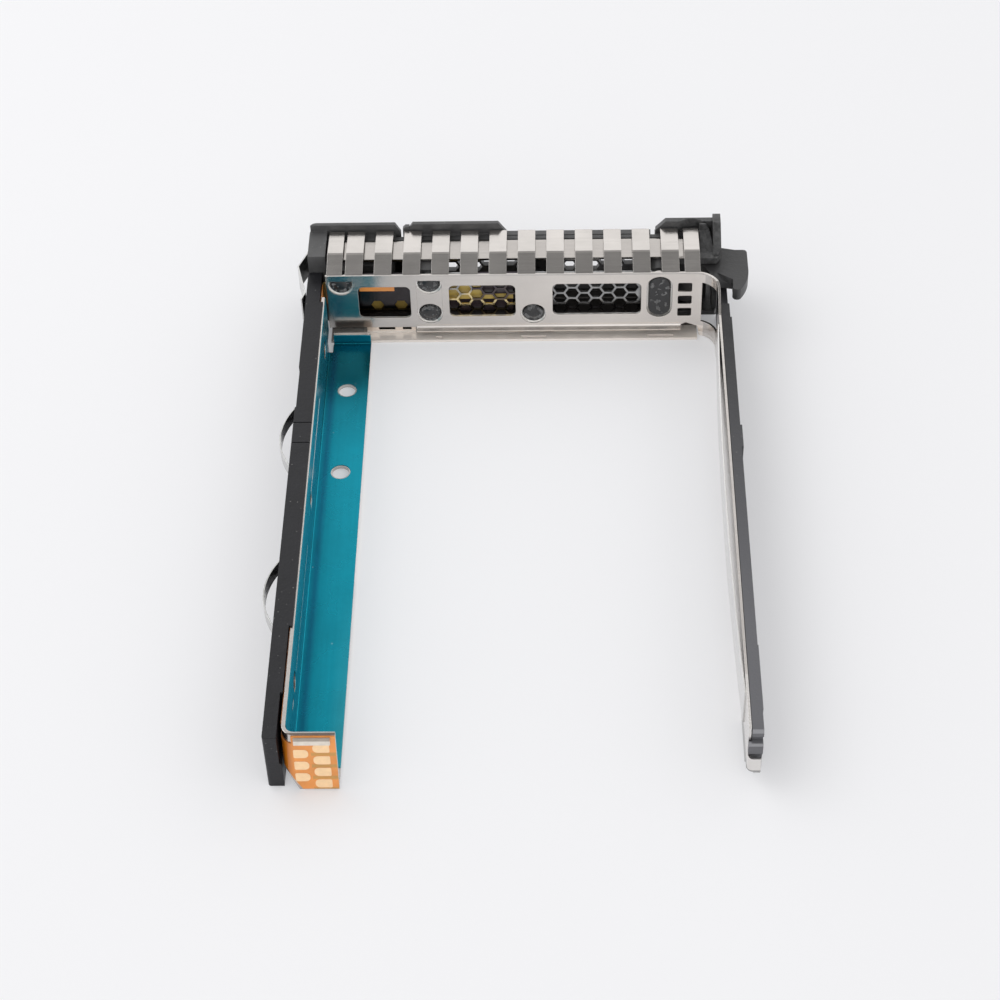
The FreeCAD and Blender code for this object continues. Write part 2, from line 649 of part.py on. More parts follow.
def button_spring():
    """Z-folded strip between the housing's rear wall and the button's lip."""
    gauge = 0.15
    left = button_x0 + 0.4
    right = button_x1 - 0.6
    y0 = button_spring_rear_y + 0.02
    y1 = plate_back_y - button_lip_thickness - gauge / 2
    path = [V(left, y0, 0), V(right, y0, 0), V(left, (y0 + y1) / 2, 0), V(right, y1 - 0.1, 0)]
    section = folded(path, [0.3, 0.3], gauge, V(0, 1, 0))
    section.translate(V(0, 0, (button_z0 + button_z1) / 2 - 2))
    return section.extrude(V(0, 0, 4))


def light_ring():
    """Clear ring in the bezel's face."""
    depth = plate_back_y + 0.5
    ring = rod_y(ring_x, ring_z, ring_outer, depth, bezel_front_y + 0.15)
    return ring.cut(rod_y(ring_x, ring_z, ring_inner, depth + 0.6, bezel_front_y + 1))


def status_lens():
    return rod_y(lens_x, lens_z, lens_radius, plate_back_y + 0.5, bezel_front_y + 0.15)


# ---------------------------------------------------------------- left rail

def rail_plan(offset, rear_y, z):
    """Plan outline of the wall and the end plate, `offset` outside the wall's inner face."""
    x = -bay_half - offset
    return [V(x, rail_front_y, z), V(x, rear_y - offset, z), V(flange_edge_x, rear_y - offset, z)]


def leaning_strip(outer, inner, z0, z1, front_y):
    """A strip on edge round the rail's rear corner, whose end leans forward at the top."""
    sections = []
    for z in (z0, z1):
        rear = -rail_length + end_plate_lean * z / rail_height
        path = rail_plan(inner, rear, z)
        path[0].y = front_y
        far = rail_plan(outer, rear, z)
        far[0].y = front_y
        near_wire = bent_wire(path, [end_bend + inner])
        far_wire = bent_wire(far, [end_bend + outer])
        ends = [Part.LineSegment(a, b).toShape() for a, b in zip((path[0], path[-1]),
                                                                (far[0], far[-1]))]
        sections.append(Part.Wire([ends[0]] + far_wire.Edges + [ends[1]]
                                  + near_wire.Edges[::-1]))
    return Part.makeLoft(sections, True, True)


def left_wall_slots(depth):
    """Slots that let the side springs work, cut `depth` past both skins of the wall."""
    x0 = -bay_half - rail_gauge - depth
    x1 = -bay_half + depth
    return [block(x0, x1, *slot) for slot in wall_slots]


def left_rail():
    """One folded sheet: wall, floor flange, front lip and the end plate for the contacts."""
    wall = leaning_strip(rail_gauge, 0, 0, rail_height - 0.3, rail_front_y)
    x0 = wall_outer_left
    rear = -rail_length - rail_gauge
    path = [V(x0, 0, 3.0), V(x0, 0, 0), V(flange_edge_x, 0, 0)]
    section = folded(path, [flange_bend], rail_gauge, V(1, 0, 0))
    section.translate(V(0, rear + end_bend + rail_gauge, 0))
    foot = section.extrude(V(0, rail_front_y - rear - end_bend - rail_gauge, 0))
    lower = block(x0 - 1, x0 + flange_bend, rear + end_bend + rail_gauge, 9, -1, flange_bend)
    wall = wall.cut(lower)
    heel = block(-bay_half + 0.6, flange_edge_x, rear + 0.3, rear + end_bend + 1, 0, rail_gauge)
    lip_y = rail_front_y
    lip = folded([V(0, lip_y - wall_relief_length, 0), V(0, lip_y, 0), V(0, lip_y, lip_height)],
                 [lip_bend], rail_gauge, V(0, 0, 1))
    lip.translate(V(-bay_half + 0.9, 0, 0))
    lip = lip.extrude(V(flange_edge_x + bay_half - 0.9, 0, 0))
    lip = soften(lip, 0.8, V(0, 1, 0), lambda c: c.x > flange_edge_x - 0.1 and c.z > lip_height - 0.4)
    relief = block(x0 - 1, -bay_half + 0.8, rail_front_y - wall_relief_length, 9, -1, wall_relief)
    floor_end = block(-bay_half + 0.8, flange_edge_x + 1, rail_front_y - 0.9, 9, -1, 0.9)
    foot = foot.cut(floor_end)
    body = join(wall, foot, heel, lip)
    holes = [relief, slanting_corner(0.6)]
    holes += left_wall_slots(1)
    for y in flange_hole_ys:
        holes.append(rod_z(flange_hole_x, y, flange_hole_radius, -1, 2))
    for y in (screw_front_y, screw_rear_y):
        holes.append(rod_x(y, screw_z, screw_hole_radius, wall_outer_left - 1, -bay_half + 1))
    return cut_all(body, holes)


def insulating_film():
    """Thin coloured film on the inside of the wall and on the flange."""
    x0 = -bay_half
    rear = -rail_length + end_plate_lean + end_bend + 0.1
    front = rail_front_y - lip_bend
    inner_bend = flange_bend - rail_gauge
    path = [V(x0, rear, rail_height - 0.5), V(x0, rear, rail_gauge), V(flange_edge_x, rear, rail_gauge)]
    section = folded(path, [inner_bend], film_gauge, V(1, 0, 0))
    body = section.extrude(V(0, front - rear, 0))
    front_wall = block(x0, x0 + film_gauge, front, rail_front_y, wall_relief, rail_height - 0.5)
    lip_y = rail_front_y - rail_gauge
    lip = folded([V(0, front - 1, rail_gauge), V(0, lip_y, rail_gauge), V(0, lip_y, lip_height - 0.1)],
                 [lip_bend - rail_gauge], film_gauge, V(0, 0, 1))
    lip.translate(V(x0 + 0.9, 0, 0))
    lip = lip.extrude(V(flange_edge_x - x0 - 0.9, 0, 0))
    relief = block(x0 - 1, x0 + 0.8, rail_front_y - wall_relief_length, 9, -1, wall_relief)
    body = body.fuse([front_wall, lip]).removeSplitter()
    holes = [relief]
    holes += left_wall_slots(1)
    for y in flange_hole_ys:
        holes.append(rod_z(flange_hole_x, y, flange_hole_radius + 0.2, -1, 2))
    for y in (screw_front_y, screw_rear_y):
        holes.append(rod_x(y, screw_z, screw_hole_radius + 0.2, wall_outer_left - 1, -bay_half + 1))
    return cut_all(body, holes)


# ---------------------------------------------------------------- flexible circuit

def flex_circuit():
    """Thin circuit from the front indicators, along the left rail, to the rear contacts."""
    front_y = 3.0
    x_side = wall_outer_left - flex_gauge
    path = [V(-1.5, front_y, 0), V(x_side, front_y, 0), V(x_side, -rail_length + 4.0, 0)]
    plan = folded(path, [1.0], flex_gauge, V(0, -1, 0))
    plan.translate(V(0, 0, 6.2))
    side = plan.extrude(V(0, 0, 5.0))
    panel = block(-33.0, -1.5, front_y - flex_gauge, front_y, 3.9, 12.8)
    holes = [rod_y(x, z, stake_shoulder_radius + 0.2, 0, 9) for x, z in round_stakes]
    tab = block(-29.2, -22.9, 1.2, 1.2 + flex_gauge, 10.2, 12.0)
    link = block(-29.2, -29.2 + flex_gauge, 1.2, front_y, 10.2, 12.0)
    tail = leaning_strip(rail_gauge + flex_gauge, rail_gauge, 0.2, flex_top,
                         -rail_length + 6.0)
    bare = block(wall_outer_left - 1, -34.3, -rail_length - 3, -rail_length + 3.4, rail_height - flex_corner_drop, 20)
    tail = tail.cut(bare).cut(slanting_corner())
    return join(join(side, panel.cut(Part.makeCompound(holes))).cut(
        Part.makeCompound(holes)), tab, link, tail)


def slanting_corner(lower=0.0):
    """The slanting lower corner of the contact end, cut that much lower."""
    x = wall_outer_left - 1
    y = -rail_length - 3
    outline = [V(x, y, -1), V(x, y, 4.6 - lower), V(x + 1.6, y, 3.8 - lower),
               V(x + 3.8 - lower, y, 0.0), V(x + 3.8 - lower, y, -1)]
    return face_of(outline).extrude(V(0, 12, 0))


def end_plate_y(z):
    """Rear face of the contact end at a height."""
    lean = end_plate_lean * z / rail_height
    return -rail_length + lean - rail_gauge - flex_gauge


def on_end_plate(body, z):
    """Leans a flat piece with its back at y = 0 like the end plate and sets it at a height."""
    slope = math.degrees(math.atan(end_plate_lean / rail_height))
    body.rotate(V(0, 0, 0), V(1, 0, 0), -slope)
    body.translate(V(0, end_plate_y(z), z))
    return body


def contact_pads():
    """Seven plated pads in two columns, four and three, staggered."""
    half = pad_height / 2
    columns = ((right_pad_x0, right_pad_x1, right_pad_base_z, right_pad_count, right_pad_x0),
               (left_pad_x0, left_pad_x1, left_pad_base_z, left_pad_count, left_pad_x1))
    pads = []
    for x0, x1, base_z, count, round_x in columns:
        for i in range(count):
            body = block(x0, x1, -pad_thickness, 0, -half, half)
            body = soften(body, half * 0.85, V(0, 1, 0), lambda c: abs(c.x - round_x) < 0.1)
            body = soften(body, half * 0.3, V(0, 1, 0), lambda c: abs(c.x - round_x) > 1)
            pads.append(on_end_plate(body, base_z + i * pad_pitch))
    return Part.makeCompound(pads)


def led_chips():
    """Small indicator parts on the circuit, behind the left window."""
    y0 = 3.0
    chips = [block(x - 0.8, x + 0.8, y0, y0 + 0.7, 8.4, 9.2) for x in (-27.2, -24.6, -22.0)]
    return Part.makeCompound(chips)


def flex_clip():
    """Pale stiffening bar along the circuit's upper end."""
    half = (flex_clip_z1 - flex_clip_z0) / 2
    bar = block(-33.9, -28.3, -flex_clip_thickness, -0.02, -half, half)
    bar = soften(bar, 0.15, V(1, 0, 0), lambda c: c.y < -0.1)
    return on_end_plate(bar, flex_clip_z0 + half)


# ---------------------------------------------------------------- plastic covers and springs

def spring_pocket(middle_y):
    """Shallow pocket in the left cover's outer face, with a slot at each end for the feet."""
    x = cover_outer_left
    z0 = spring_base_z - 0.5
    z1 = spring_base_z + spring_height + 0.5
    return block(x - 1, x + 0.7, middle_y - side_spring_half - 1.6,
                 middle_y + side_spring_half + 1.6, z0, z1)


def side_spring(middle_y):
    """Thin bowed leaf whose flat feet lie in the cover's pocket."""
    x_foot = cover_outer_left + 0.7 - spring_gauge - 0.02
    x_peak = cover_outer_left - side_spring_bulge
    half = side_spring_half

    def skin(step):
        foot = 1.2
        x0 = x_foot + step
        rise = x_foot - x_peak
        arc = Part.Arc(V(x0, middle_y - half, 0), V(x_peak + step, middle_y, 0),
                       V(x0, middle_y + half, 0)).toShape()
        a = Part.LineSegment(V(x0, middle_y - half - foot, 0), V(x0, middle_y - half, 0)).toShape()
        b = Part.LineSegment(V(x0, middle_y + half, 0), V(x0, middle_y + half + foot, 0)).toShape()
        return [a, arc, b]

    outer = skin(0)
    inner = skin(spring_gauge)
    ends = [Part.LineSegment(outer[0].Vertexes[0].Point, inner[0].Vertexes[0].Point).toShape(),
            Part.LineSegment(outer[-1].Vertexes[-1].Point, inner[-1].Vertexes[-1].Point).toShape()]
    outline = Part.Wire(Part.__sortEdges__(outer + [ends[1]] + inner[::-1] + [ends[0]]))
    strip = Part.Face(outline).extrude(V(0, 0, spring_height))
    strip.translate(V(0, 0, spring_base_z))
    return strip


def left_cover():
    x0 = cover_outer_left
    x1 = cover_inner_left
    rear = -rail_length
    body = block(x0, x1, rear, cheek_rear_y - 0.1, 0, rail_height)
    body = soften(body, 0.5, V(0, 0, 1), lambda c: c.x < x0 + 0.1)
    lip = block(x1 - 0.1, wall_outer_left + 0.35, -79.7, -3.3, rail_height - 0.28, rail_height)
    body = join(body, lip)
    cuts = [spring_pocket(y) for y in (side_spring_front_y, side_spring_rear_y)]
    cuts += [block(x0 - 1, x0 + 0.15, y - 0.12, y + 0.12, -1, 20) for y in left_cover_grooves]
    cuts += [block(x0 - 1, x1 + 1, y - 0.1, y + 0.1, rail_height - 0.2, 20) for y in left_cover_grooves]
    cuts.append(block(x0 - 1, x0 + 0.2, -30.3, -20.2, -1, 20))
    cuts.append(block(x1 - 0.35, x1 + 1, rear - 1, rear + 9.0, 5.4, 20))
    for y in (screw_front_y, screw_rear_y):
        cuts.append(rod_x(y, screw_z, screw_access_radius, x0 - 1, x1 + 1))
    return cut_all(body, cuts)


def right_cover():
    x0 = cover_inner_right
    x1 = cover_outer_right
    front = cheek_rear_y - 0.1
    body = block(x0, x1, right_rear_y, front, 0, rail_height)
    step = block(x1 - 0.25, x1 + 1, -8.3, front + 1, -1, 20)
    body = body.cut(step)
    raised = block(x1 - 0.2, x1 + 0.3, -40.7, -35.5, 0, rail_height)
    groove_z0, groove_z1 = rear_rib_groove
    rear_band = block(x1 - 0.2, x1 + 0.12, right_rear_y + 4.4, -84.2, 0, rail_height)
    body = soften(body, 0.6, V(1, 0, 0), lambda c: c.y < right_rear_y + 0.1 and c.z > 5)
    lower_rib = block(x0 - 0.5, x1, right_rear_y - 0.25, right_rear_y + 0.5, rear_rib_low, groove_z0)
    lower_rib = soften(lower_rib, 0.5, V(1, 0, 0), lambda c: c.y < right_rear_y and c.z > 7)
    body = body.cut(block(x0 - 1, x1 + 1, right_rear_y - 1, right_rear_y + 0.9, groove_z0, groove_z1))
    body = body.cut(block(x0 - 1, x1 + 1, right_rear_y - 1, right_rear_y + 0.5, -1, rear_rib_low))
    body = join(body, raised, rear_band, lower_rib)
    hook_room = block(x0 - 1, x1 + 1, hook_window_rear_y - 0.2, front + 1,
                      hook_low - hook_clearance, hook_window_z1)
    cuts = [hook_room]
    cuts.append(rear_underside(x0 - 1, x1 + 1))
    for y in (screw_front_y, screw_rear_y):
        cuts.append(rod_x(y, screw_z, screw_access_radius, x0 - 1, x1 + 1))
    return cut_all(body, cuts)


def right_leaf():
    """Long bowed leaf that presses on the drive's side; its ends lie on the right arm."""
    x = bay_half
    gauge = 0.25
    bow = 0.85
    y0 = -93.0
    y1 = -9.2
    middle = (y0 + y1) / 2
    z0 = 3.6
    outer = Part.Arc(V(x, y0, z0), V(x - bow, middle, z0), V(x, y1, z0)).toShape()
    inner = Part.Arc(V(x - gauge, y0, z0), V(x - bow - gauge, middle, z0),
                     V(x - gauge, y1, z0)).toShape()
    ends = [Part.LineSegment(V(x, y, z0), V(x - gauge, y, z0)).toShape() for y in (y0, y1)]
    outline = Part.Wire(Part.__sortEdges__([outer, ends[1], inner, ends[0]]))
    return Part.Face(outline).extrude(V(0, 0, rail_height - 0.9 - z0))


def ground_clip():
    """Bent spring strip outside the left cheek that earths the bezel to the enclosure."""
    x = front_left_x
    path = [V(x + 0.5, clip_y, clip_z0), V(x - 0.35, clip_y, clip_z0), V(x - 2.2, 6.2, clip_z0),
            V(x - 0.45, -0.9, clip_z0), V(x - 1.0, -2.6, clip_z0)]
    section = folded(path, [0.4, 0.7, 0.7], spring_gauge, V(0, -1, 0))
    return section.extrude(V(0, 0, clip_z1 - clip_z0))


# ---------------------------------------------------------------- the caddy

def main():
    os.makedirs("parts", exist_ok=True)
    save("crossbar", crossbar())
    save("front_cage", front_cage())
    save("vent_grille", vent_grille())
    save("bezel", bezel())
    save("latch_lever", latch_lever())
    save("lever_pin", lever_pin())
    save("release_button", release_button())
    save("button_spring", button_spring())
    save("light_ring", light_ring())
    save("status_lens", status_lens())
    save("left_rail", left_rail())
    save("insulating_film", insulating_film())
    save("flex_circuit", flex_circuit())
    save("contact_pads", contact_pads())
    save("flex_clip", flex_clip())
    save("led_chips", led_chips())
    save("left_cover", left_cover())
    save("side_spring_front", side_spring(side_spring_front_y))
    save("side_spring_rear", side_spring(side_spring_rear_y))
    save("ground_clip", ground_clip())
    save("right_cover", right_cover())
    save("right_leaf", right_leaf())


main()
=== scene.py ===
"""Hot swap drive caddy for a 2.5 inch drive: finishes, fine detail, camera and stage."""

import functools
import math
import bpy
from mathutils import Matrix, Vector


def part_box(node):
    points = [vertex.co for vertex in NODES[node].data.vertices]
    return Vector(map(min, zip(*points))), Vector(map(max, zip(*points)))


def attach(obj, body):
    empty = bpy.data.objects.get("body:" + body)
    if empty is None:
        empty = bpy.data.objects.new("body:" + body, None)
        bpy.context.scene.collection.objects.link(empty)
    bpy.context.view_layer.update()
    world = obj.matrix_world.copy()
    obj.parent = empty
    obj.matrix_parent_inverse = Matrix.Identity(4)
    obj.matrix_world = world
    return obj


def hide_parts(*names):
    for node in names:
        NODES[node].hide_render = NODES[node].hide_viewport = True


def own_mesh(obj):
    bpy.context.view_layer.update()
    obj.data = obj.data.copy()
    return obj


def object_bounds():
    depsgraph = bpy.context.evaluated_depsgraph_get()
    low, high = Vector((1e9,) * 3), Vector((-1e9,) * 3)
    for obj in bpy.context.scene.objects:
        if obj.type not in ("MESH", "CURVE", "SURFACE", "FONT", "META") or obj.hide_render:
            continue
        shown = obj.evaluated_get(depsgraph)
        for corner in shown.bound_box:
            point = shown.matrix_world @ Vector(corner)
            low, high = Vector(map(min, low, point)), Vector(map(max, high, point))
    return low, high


bl_info = {
    "name": "Drive Caddy",
    "version": (1, 0, 0),
    "blender": (4, 5, 0),
    "location": "3D View > Sidebar > Caddy",
    "description": "Finishes and fine detail for a hot swap drive caddy",
    "category": "Add Mesh",
}

import bpy
from mathutils import Matrix, Vector

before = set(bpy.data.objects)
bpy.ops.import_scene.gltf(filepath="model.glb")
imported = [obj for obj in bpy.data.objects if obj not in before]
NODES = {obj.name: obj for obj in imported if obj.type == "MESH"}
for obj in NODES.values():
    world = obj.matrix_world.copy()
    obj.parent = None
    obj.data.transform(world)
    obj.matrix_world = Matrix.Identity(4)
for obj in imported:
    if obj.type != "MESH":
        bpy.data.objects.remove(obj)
CAD_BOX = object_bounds()
MM = 0.001

# The colour Mix node has several sockets of one name, so these are told apart by number.
MIX_FIRST, MIX_SECOND, MIX_RESULT = 6, 7, 2
EDGE_SAMPLES = 6

# The circuit's pads at the rear, in millimetres
PAD_BASE_Z = 1.4
PAD_PITCH = 2.47

# Melted heads in millimetres: centre x, centre z, half the straight part, height they are cut at
HEADS = ((-32.4, 12.7, 0.0, 13.45),
         (-16.55, 12.7, 0.0, 13.45),
         (-16.55, 5.7, 0.0, None),
         (2.2, 5.5, 0.0, None),
         (25.0, 9.2, 2.5, None))
HEAD_MIDDLE_Y = 0.42
HEAD_BEVEL = 0.35
HEAD_VOXEL = 0.12
LUMP_SIZE = 1.1
LUMP_MIDDLE = 0.6

STRIP_BEVEL = 0.03

FLOOR_RADIUS = 3.0
FLOOR_GAP = 0.00002
STAGE_MIDDLE = (0.0, -0.04, 0.0)
KEY_PLACE = (-0.42, 0.10, 0.62)
KEY_SIZE = 0.6
# Grey levels of the light from all round, by the sine of its height over the floor
SKY_LEVELS = ((0.0, 0.95), (0.45, 1.08), (0.66, 1.12), (0.80, 0.52), (1.0, 0.25))
CAMERA_PLACE = (7.532 * MM, -328.809 * MM, 302.074 * MM)
CAMERA_HEADING, CAMERA_TILT, CAMERA_ROLL = 2.197, 43.589, -2.028


# ---------------------------------------------------------------- materials

class Field:
    """A number that varies over a surface. Arithmetic on it adds Math nodes."""

    def __init__(self, graph, socket):
        self.graph = graph
        self.socket = socket

    def math(self, operation, first, second=0.0, clamp=False):
        node = self.graph.add("ShaderNodeMath", {"operation": operation, "use_clamp": clamp},
                              {0: first, 1: second})
        return Field(self.graph, node.outputs[0])

    def __add__(self, other):
        return self.math("ADD", self, other)

    def __radd__(self, other):
        return self.math("ADD", other, self)

    def __sub__(self, other):
        return self.math("SUBTRACT", self, other)

    def __rsub__(self, other):
        return self.math("SUBTRACT", other, self)

    def __mul__(self, other):
        return self.math("MULTIPLY", self, other)

    def __rmul__(self, other):
        return self.math("MULTIPLY", other, self)

    def __truediv__(self, other):
        return self.math("DIVIDE", self, other)

    def __lt__(self, other):
        return self.math("LESS_THAN", self, other)

    def __gt__(self, other):
        return self.math("GREATER_THAN", self, other)

    def __abs__(self):
        return self.math("ABSOLUTE", self)

    def rounded(self):
        return self.math("ROUND", self)

    def clamped(self):
        return self.math("ADD", self, 0.0, clamp=True)

    def ramp(self, low, high):
        """0 where this is at low, 1 where it is at high, in between on a straight line."""
        return ((self - low) / (high - low)).clamped()


class Graph:
    """The nodes of a material or a world. Every node but a Math node is added by add."""

    def __init__(self, owner):
        owner.use_nodes = True
        self.nodes = owner.node_tree.nodes
        self.links = owner.node_tree.links

    def add(self, kind, settings, values):
        """A node of that type: its settings first, then what goes into its sockets."""
        node = self.nodes.new(kind)
        for setting, value in settings.items():
            if setting == "stops":
                self.set_stops(node.color_ramp.elements, value)
            else:
                setattr(node, setting, value)
        for socket, value in values.items():
            self.put(value, node.inputs[socket])
        return node

    def put(self, value, socket):
        """Sets a socket to a value, or links a field or another socket to it."""
        if isinstance(value, Field):
            value = value.socket
        if isinstance(value, bpy.types.NodeSocket):
            self.links.new(value, socket)
        else:
            socket.default_value = value

    @staticmethod
    def set_stops(elements, stops):
        """Grey stops of a colour ramp, as pairs of place and level."""
        for position, level in stops[1:-1]:
            elements.new(position).color = (level, level, level, 1.0)
        for element, (position, level) in ((elements[0], stops[0]), (elements[-1], stops[-1])):
            element.position = position
            element.color = (level, level, level, 1.0)


class Finish(Graph):
    """A material with its shader, whose patterns are laid out in the part's millimetres."""

    def __init__(self, name, colour, settings):
        self.material = bpy.data.materials.new(name)
        super().__init__(self.material)
        self.shader = self.nodes["Principled BSDF"]
        self.shader.inputs["Base Color"].default_value = (*colour, 1.0)
        for socket, value in settings.items():
            self.shader.inputs[socket].default_value = value
        self.colour = colour[:]
        self.tone = self.colour
        self.place = self.mapped()

    def mapped(self, stretch=(1.0, 1.0, 1.0)):
        """The object's own coordinates in millimetres, stretched for a pattern."""
        coordinates = self.add("ShaderNodeTexCoord", {}, {})
        scale = tuple(factor / MM for factor in stretch)
        return self.add("ShaderNodeMapping", {}, {"Vector": coordinates.outputs["Object"],
                                                  "Scale": scale}).outputs[0]

    @functools.cached_property
    def axes(self):
        parts = self.add("ShaderNodeSeparateXYZ", {}, {0: self.place})
        return [Field(self, socket) for socket in parts.outputs]

    def within(self, **ranges):
        """1 between those places along x, y and z in millimetres, 0 outside. None is no limit."""
        mask = None
        for name, place in zip("xyz", self.axes):
            low, high = ranges.get(name, (None, None))
            tests = ([place > low] if low is not None else []) + (
                [place < high] if high is not None else [])
            for test in tests:
                mask = test if mask is None else mask * test
        return mask

    def noise(self, scale, detail=3.0, roughness=0.5, stretch=None, distortion=0.0):
        place = self.mapped(stretch) if stretch else self.place
        node = self.add("ShaderNodeTexNoise", {},
                        {"Vector": place, "Scale": scale, "Detail": detail,
                         "Roughness": roughness, "Distortion": distortion})
        return Field(self, node.outputs[0])

    def cells(self, scale):
        node = self.add("ShaderNodeTexVoronoi", {}, {"Vector": self.place, "Scale": scale})
        return Field(self, node.outputs["Distance"])

    def paint(self, amount, colour):
        """Covers the colour so far with another one, by that amount."""
        sockets = [tone if isinstance(tone, bpy.types.NodeSocket) else (*tone[:3], 1.0)
                   for tone in (self.tone, colour)]
        node = self.add("ShaderNodeMix", {"data_type": "RGBA"},
                        {"Factor": amount, MIX_FIRST: sockets[0], MIX_SECOND: sockets[1]})
        self.tone = node.outputs[MIX_RESULT]
        self.feed("Base Color", self.tone)

    def vary(self, pattern, dark, light, low=0.3, high=0.7):
        """The finish's own colour, darker and lighter by those factors along a pattern."""
        self.tone = tinted(self.colour, dark)
        self.paint(pattern.ramp(low, high), tinted(self.colour, light))

    def feed(self, socket, value):
        self.put(value, self.shader.inputs[socket])

    def relief(self, height, depth_mm, soft_edge_mm=0.0):
        """Bump of that depth, on edges rounded by soft_edge_mm where it isn't zero."""
        values = {"Height": height, "Distance": depth_mm * MM, "Strength": 1.0}
        if soft_edge_mm:
            values["Normal"] = self.add("ShaderNodeBevel", {"samples": EDGE_SAMPLES},
                                        {"Radius": soft_edge_mm * MM}).outputs[0]
        self.feed("Normal", self.add("ShaderNodeBump", {}, values).outputs[0])

    def give(self, *names):
        """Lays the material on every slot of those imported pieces."""
        for name in names:
            for slot in NODES[name].material_slots:
                slot.material = self.material


def tinted(colour, factor):
    return tuple(min(1.0, channel * factor) for channel in colour)


# ---------------------------------------------------------------- settings

def colour_setting(name, description, default):
    return bpy.props.FloatVectorProperty(name=name, description=description, subtype="COLOR",
                                         size=3, min=0.0, max=1.0, default=default)


def length_setting(name, description, millimetres):
    return bpy.props.FloatProperty(name=name, description=description, subtype="DISTANCE",
                                   unit="LENGTH", min=0.0, precision=5, default=millimetres * MM)


class CaddySteel(bpy.types.PropertyGroup):
    """Colours of the sheet metal."""
    nickel: colour_setting("Nickel", "Satin sheet of the crossbar, cage and rails",
                           (0.585, 0.555, 0.53))
    # Painted highlight on the sheet's low edges, standing for the floor reflected there
    edge: colour_setting("Edge", "Brighter folded edges of the sheet", (0.96, 0.88, 0.81))
    grille: colour_setting("Grille", "Darker sheet of the air grille", (0.33, 0.33, 0.33))
    spring: colour_setting("Spring", "Spring strip", (0.62, 0.62, 0.61))
    grain: bpy.props.FloatProperty(name="Grain", description="Strength of the rolled grain",
                                   default=1.0, min=0.0, max=3.0)


class CaddyPlastic(bpy.types.PropertyGroup):
    """Colours of the moulded pieces."""
    frame: colour_setting("Frame", "Bezel", (0.070, 0.070, 0.071))
    left: colour_setting("Left Cover", "Cover of the left rail", (0.011, 0.011, 0.0135))
    right: colour_setting("Right Cover", "Cover of the right rail", (0.024, 0.024, 0.026))
    heads: colour_setting("Heads", "Melted heads of the posts", (0.012, 0.012, 0.013))
    lever: colour_setting("Lever", "Latch lever", (0.080, 0.079, 0.080))
    button: colour_setting("Button", "Release button", (0.16, 0.022, 0.034))
    lens: colour_setting("Lens", "Light ring and status lens", (0.80, 0.84, 0.84))


class CaddyCircuit(bpy.types.PropertyGroup):
    """Colours of the film and the flexible circuit."""
    film: colour_setting("Film", "Insulating film on the rail", (0.006, 0.285, 0.385))
    amber: colour_setting("Amber", "Flexible circuit", (0.80, 0.30, 0.065))
    # Painted shade where the circuit turns round its rear bend
    turned: colour_setting("Bend", "The circuit round its rear bend", (0.50, 0.15, 0.006))
    panel: colour_setting("Panel", "The circuit behind the grille", (0.50, 0.36, 0.09))
    pads: colour_setting("Pads", "Contact pads", (0.95, 0.66, 0.38))
    clip: colour_setting("Clip", "Clip over the circuit", (0.72, 0.66, 0.58))
    chips: colour_setting("Chips", "Light chips", (0.80, 0.74, 0.50))


class CaddyDetail(bpy.types.PropertyGroup):
    """Sizes of the pieces that are modelled here."""
    head_radius: length_setting("Head Radius", "Radius of a melted head before it melts", 1.86)
    head_depth: length_setting("Head Depth", "Thickness of a melted head before it melts", 0.85)
    head_lumps: length_setting("Head Lumps", "How far the heads' lumps stand proud", 0.95)
    strip_gauge: length_setting("Strip Gauge", "Thickness of the button's spring", 0.12)


class CaddyStage(bpy.types.PropertyGroup):
    """Floor, light and camera."""
    floor: colour_setting("Floor", "Pale floor", (0.87, 0.87, 0.885))
    paper: colour_setting("Paper", "Colour of the unshaded floor", (0.885, 0.885, 0.905))
    lift: bpy.props.FloatProperty(name="Lift", description="How far shadows fade into the paper",
                                  subtype="FACTOR", default=0.3, min=0.0, max=1.0)
    sky_level: bpy.props.FloatProperty(name="Sky", description="Level of the light from all round",
                                       default=1.17, min=0.0)
    key_power: bpy.props.FloatProperty(name="Key", description="Power of the key light",
                                       unit="POWER", default=1.3, min=0.0)
    lens: bpy.props.FloatProperty(name="Lens", description="Focal length of the camera",
                                  unit="CAMERA", default=87.452, min=10.0)


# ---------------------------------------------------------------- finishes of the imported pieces

# Fixed tints, where a piece is lit, shaded or marked
FACE_HIGHLIGHT = (0.90, 0.84, 0.78)
CAGE_TOP_SHADE = (0.24, 0.22, 0.20)
TAB_HIGHLIGHT = (0.82, 0.80, 0.78)
CAVITY_SHADE = (0.014, 0.013, 0.013)
TOE_SHADE = (0.16, 0.16, 0.155)
SEAT_HIGHLIGHT = (0.95, 0.93, 0.90)
SLOPE_SHADE = (0.12, 0.12, 0.115)
SEAM = (0.10, 0.06, 0.04)
LEAF_REFLECTION = (0.80, 0.80, 0.80)
GRILLE_GOLD = (0.80, 0.66, 0.36)
GRILLE_DARK = (0.035, 0.030, 0.032)
GRILLE_LINE = (0.62, 0.46, 0.12)
GRILLE_SHADE = (0.055, 0.042, 0.055)
GRILLE_FOOT_SHADE = (0.02, 0.018, 0.018)
DUST = (0.32, 0.31, 0.30)
COVER_RIB_HIGHLIGHT = (0.40, 0.40, 0.42)
BEZEL_ROUGH = (0.012, 0.012, 0.012)
BEZEL_POST = (0.012, 0.012, 0.013)
HOOK_DARK = (0.022, 0.022, 0.023)
FILM_REAR_REFLECTION = (0.08, 0.42, 0.48)
FILM_BEND = (0.012, 0.045, 0.16)
FILM_WALL = (0.075, 0.24, 0.27)
FILM_LIP = (0.10, 0.035, 0.16)
FILM_SLIT_HIGHLIGHT_AND_SCRATCH = (0.62, 0.74, 0.76)
TRACE = (0.40, 0.27, 0.07)
PANEL_SHADE = (0.030, 0.020, 0.024)
PANEL_LEFT = (0.10, 0.05, 0.01)
CLIP_EDGE = (0.12, 0.08, 0.06)
HEAD_SWIRL_HIGHLIGHT = (0.28, 0.28, 0.28)


